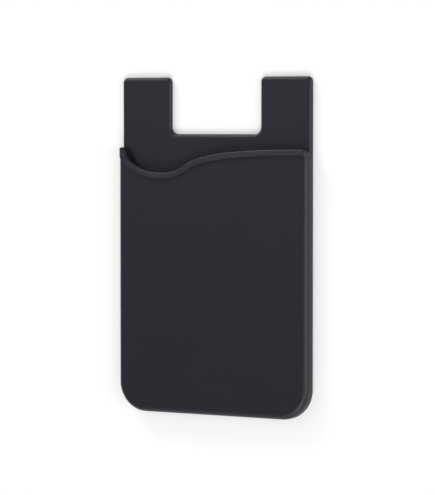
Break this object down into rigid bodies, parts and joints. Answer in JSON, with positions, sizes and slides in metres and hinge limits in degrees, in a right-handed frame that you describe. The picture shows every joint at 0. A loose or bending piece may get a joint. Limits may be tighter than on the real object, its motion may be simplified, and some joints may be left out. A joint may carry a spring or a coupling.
{
  "type": "stick-on phone card holder",
  "caption": "Flat moulded silicone pocket with two upright ears, a wavy raised lip with a thumb dip, an adhesive sheet on its back and a peel-off liner.",
  "frame": {"origin": "middle of the liner's underside, where the holder lies on a surface", "axes": "+X to the right seen from the front, +Y towards the ears, +Z out of the pocket's front"},
  "size_m": [0.06, 0.092, 0.0047],
  "materials": {
    "silicone": "smooth matte moulded silicone, near black with a faint blue cast",
    "adhesive": "milky double-sided adhesive film",
    "liner_paper": "smooth coated release paper"
  },
  "bodies": {
    "root": {"sleeve": "silicone", "adhesive_pad": "adhesive", "release_liner": "liner_paper"}
  },
  "joints": []
}
